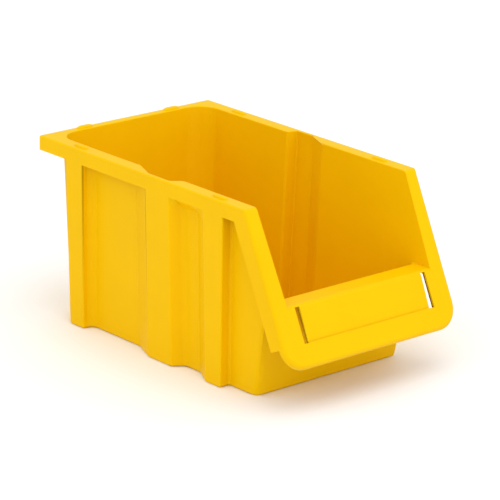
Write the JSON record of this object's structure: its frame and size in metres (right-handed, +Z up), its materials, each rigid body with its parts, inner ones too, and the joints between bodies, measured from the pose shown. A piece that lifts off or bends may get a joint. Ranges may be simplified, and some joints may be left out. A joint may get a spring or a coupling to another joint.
{
  "type": "stackable storage bin",
  "caption": "Open-front stackable storage bin with fluted tapered side walls, turned-down rim, stacking lugs, low front ridge and sloped label front with a finger grip.",
  "frame": {"origin": "middle of the footprint on the resting plane: half way along and across the outer size, at the floor's underside", "axes": "+X to the right seen from the front, +Y to the rear wall, +Z up; the picking front faces -Y"},
  "size_m": [0.1336, 0.23, 0.1154],
  "materials": {
    "moulding": "satin yellow polypropylene"
  },
  "bodies": {
    "root": {"floor": "moulding", "front_pad_left": "moulding", "front_pad_right": "moulding", "front_ridge": "moulding", "front_wall": "moulding", "label_panel": "moulding", "nose_corner_skirt_left": "moulding", "nose_corner_skirt_right": "moulding", "nose_flange": "moulding", "nose_skirt": "moulding", "rear_corner_left": "moulding", "rear_corner_right": "moulding", "rear_pad_left": "moulding", "rear_pad_right": "moulding", "rear_wall": "moulding", "rim_left": "moulding", "rim_rear": "moulding", "rim_right": "moulding", "rim_skirt_left": "moulding", "rim_skirt_rear": "moulding", "rim_skirt_right": "moulding", "side_wall_flute_left": "moulding", "side_wall_flute_right": "moulding", "side_wall_front_left": "moulding", "side_wall_front_right": "moulding", "side_wall_rear_left": "moulding", "side_wall_rear_right": "moulding", "slope_flange_left": "moulding", "slope_flange_right": "moulding", "slope_skirt_left": "moulding", "slope_skirt_right": "moulding", "stacking_lugs": "moulding"}
  },
  "joints": []
}
